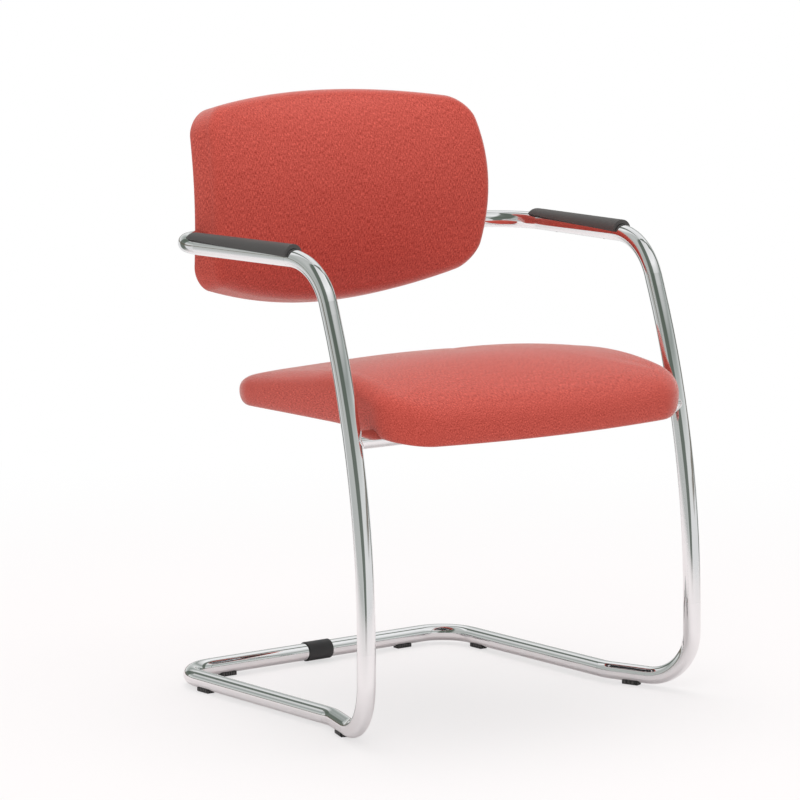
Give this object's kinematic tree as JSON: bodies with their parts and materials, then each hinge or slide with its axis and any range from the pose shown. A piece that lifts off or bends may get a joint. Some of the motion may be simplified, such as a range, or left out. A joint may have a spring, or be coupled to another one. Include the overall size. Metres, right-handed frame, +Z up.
{
  "type": "cantilever chair",
  "caption": "Cantilever visitor chair: one bent chrome tube loop with arms, a padded seat on a cross tube and a curved padded back on the rear bar.",
  "frame": {"origin": "middle of the chair's bounding box, at the height of the floor under the glides", "axes": "+Z up, front of the chair towards -Y, sitter's left towards +X, symmetric about the plane x = 0"},
  "size_m": [0.64, 0.5648, 0.8409],
  "materials": {
    "chrome_tube": "polished",
    "plain_steel": "zinc plated",
    "black_steel": "black oxide",
    "black_plastic": "moulded",
    "grey_plastic": "finely grained",
    "plywood": "raw moulded plywood",
    "red_fabric": "fine mottled weave",
    "black_cover": "thin black non-woven"
  },
  "bodies": {
    "root": {"frame_tube": "chrome_tube", "frame_spigot": "plain_steel", "frame_sleeve": "black_plastic", "glide_rear_left": "black_plastic", "glide_rear_right": "black_plastic", "glide_side_left": "black_plastic", "glide_side_right": "black_plastic", "glide_front_left": "black_plastic", "glide_front_right": "black_plastic", "seat_cross_tube": "chrome_tube", "seat_hoop": "chrome_tube", "seat_tabs": "plain_steel", "seat_board": "plywood", "seat_cushion": "red_fabric", "seat_under_cover": "black_cover", "seat_screws": "black_steel", "seat_inserts": "plain_steel", "back_board": "plywood", "back_front_pad": "red_fabric", "back_rear_pad": "red_fabric", "back_saddles": "black_plastic", "back_straps": "plain_steel", "back_screws": "black_steel", "back_inserts": "plain_steel", "arm_pad_left": "grey_plastic", "arm_pad_right": "grey_plastic", "arm_screws": "black_steel"}
  },
  "joints": []
}
